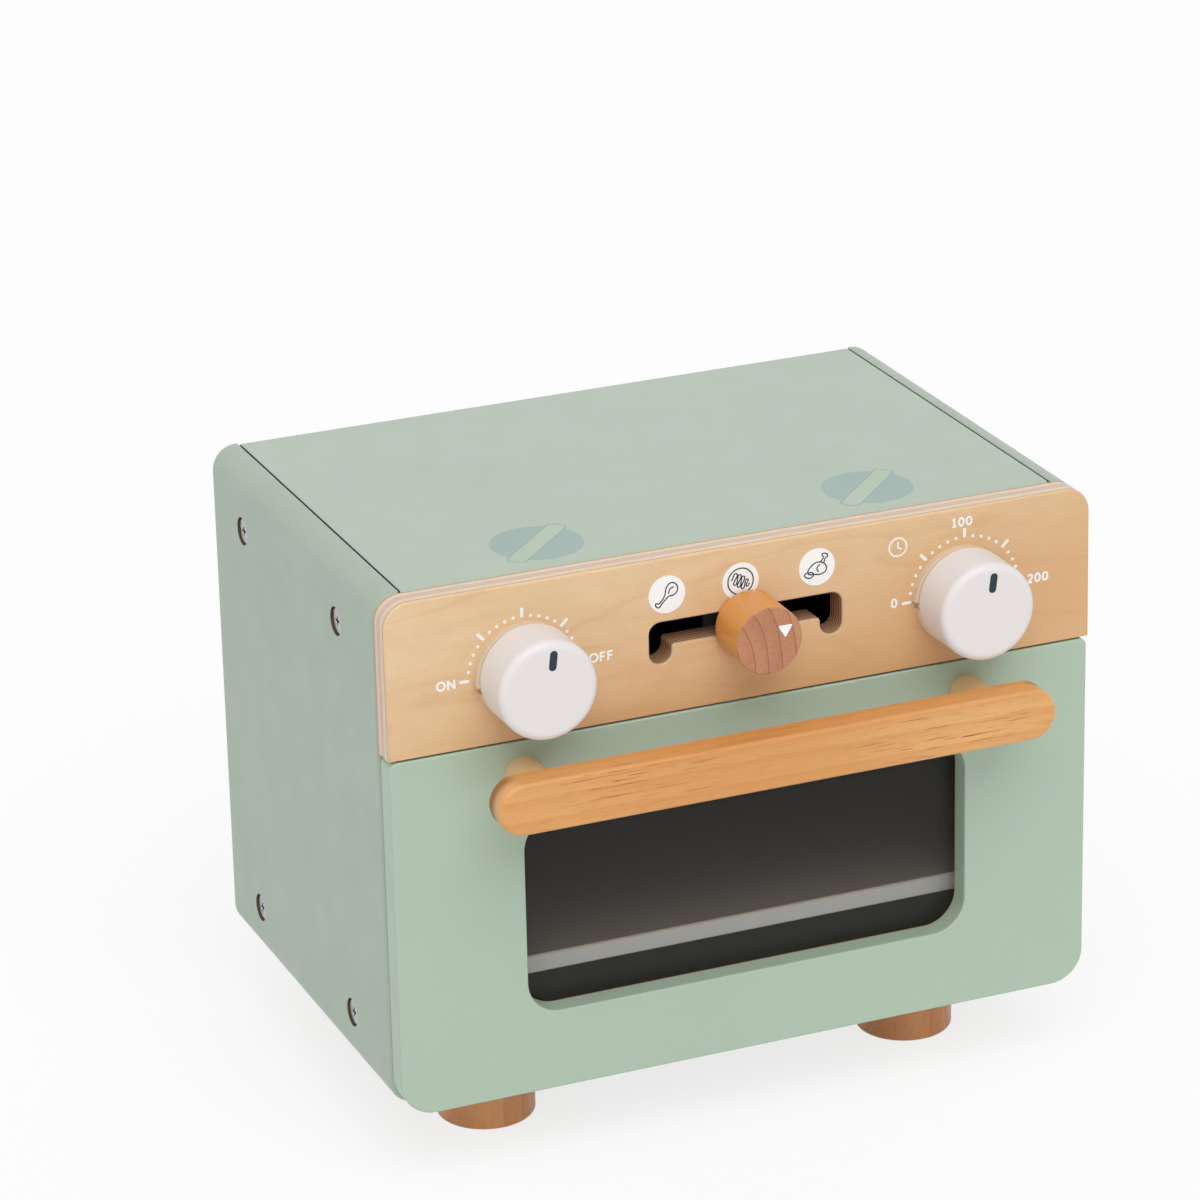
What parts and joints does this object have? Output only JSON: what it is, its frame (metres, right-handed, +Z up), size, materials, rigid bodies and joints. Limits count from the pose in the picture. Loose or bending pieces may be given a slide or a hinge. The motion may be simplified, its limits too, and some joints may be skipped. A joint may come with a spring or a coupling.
{
  "type": "toy oven",
  "caption": "Toy wooden oven with a drop-down windowed door, wooden bar handle, rotary knobs and a sliding selector in a notched slot.",
  "frame": {"origin": "bottom centre of the bounding box, on the plane the feet stand on", "axes": "+X to the right seen from the front, +Y towards the back, +Z up; the front faces -Y"},
  "size_m": [0.28, 0.219, 0.2315],
  "materials": {
    "green_paint": "satin grey-green paint on board",
    "black_paint": "matt black paint on board",
    "plywood": "clear satin lacquer on birch plywood",
    "pale_wood": "sanded pale wood",
    "handle_wood": "clear lacquer on pine-like wood",
    "foot_wood": "brown stained wood",
    "selector_wood": "lacquered turned wood",
    "white_paint": "white satin paint",
    "silver_paint": "silver-grey paint on board",
    "beige_plastic": "beige moulded plastic",
    "dark_plastic": "dark grey sheet plastic",
    "smoked_pane": "clear smoked acrylic sheet",
    "steel": "zinc plated steel"
  },
  "bodies": {
    "casing": {"side_panel_left": "green_paint", "side_panel_right": "green_paint", "top_panel": "green_paint", "bottom_panel": "green_paint", "back_panel": "green_paint", "divider_panel": "black_paint", "batten_top_front": "pale_wood", "batten_top_rear": "pale_wood", "batten_bottom_front": "black_paint", "batten_bottom_rear": "black_paint", "side_screw_left_top_front": "steel", "side_screw_left_top_rear": "steel", "side_screw_left_bottom_front": "steel", "side_screw_left_bottom_rear": "steel", "side_screw_right_top_front": "steel", "side_screw_right_top_rear": "steel", "side_screw_right_bottom_front": "steel", "side_screw_right_bottom_rear": "steel", "foot_left_front": "foot_wood", "foot_left_rear": "foot_wood", "foot_right_front": "foot_wood", "foot_right_rear": "foot_wood", "foot_screw_left_front": "steel", "foot_screw_left_rear": "steel", "foot_screw_right_front": "steel", "foot_screw_right_rear": "steel", "shelf_runner_left": "black_paint", "shelf_runner_right": "black_paint", "shelf": "silver_paint", "fascia": "plywood", "knob_ring_left": "beige_plastic", "knob_ring_right": "beige_plastic", "hinge_body_leaf_left": "steel", "hinge_body_leaf_right": "steel", "hinge_pin_left": "steel", "hinge_pin_right": "steel", "magnet_left": "steel", "magnet_right": "steel"},
    "door": {"door_panel": "green_paint", "door_pane": "smoked_pane", "handle_bar": "handle_wood", "handle_post_left": "pale_wood", "handle_post_right": "pale_wood", "handle_screw_left": "steel", "handle_screw_right": "steel", "hinge_door_leaf_left": "steel", "hinge_door_leaf_right": "steel", "strike_disc_left": "steel", "strike_disc_right": "steel"},
    "left_dial": {"knob_left": "white_paint", "knob_washer_left": "steel", "knob_spindle_left": "steel"},
    "right_dial": {"knob_right": "white_paint", "knob_washer_right": "steel", "knob_spindle_right": "steel"},
    "selector_carriage": {"selector_plate": "dark_plastic"},
    "selector": {"selector_knob": "selector_wood", "selector_stem": "steel"}
  },
  "joints": [
    {"name": "door_hinge", "type": "hinge", "parent": "casing", "child": "door", "pos_m": [0, -0.067, 0.02795], "axis": [1, 0, 0], "range_deg": [0, 83]},
    {"name": "left_dial_turn", "type": "hinge", "parent": "casing", "child": "left_dial", "pos_m": [-0.0868, -0.0775, 0.1982], "axis": [0, 1, 0], "range_deg": [-90, 90]},
    {"name": "right_dial_turn", "type": "hinge", "parent": "casing", "child": "right_dial", "pos_m": [0.0868, -0.0775, 0.1982], "axis": [0, 1, 0], "range_deg": [-90, 90]},
    {"name": "selector_slide", "type": "slide", "parent": "casing", "child": "selector_carriage", "axis": [1, 0, 0], "range_m": [-0.034, 0.034]},
    {"name": "selector_drop", "type": "slide", "parent": "selector_carriage", "child": "selector", "axis": [0, 0, 1], "range_m": [-0.0071, 0]}
  ]
}
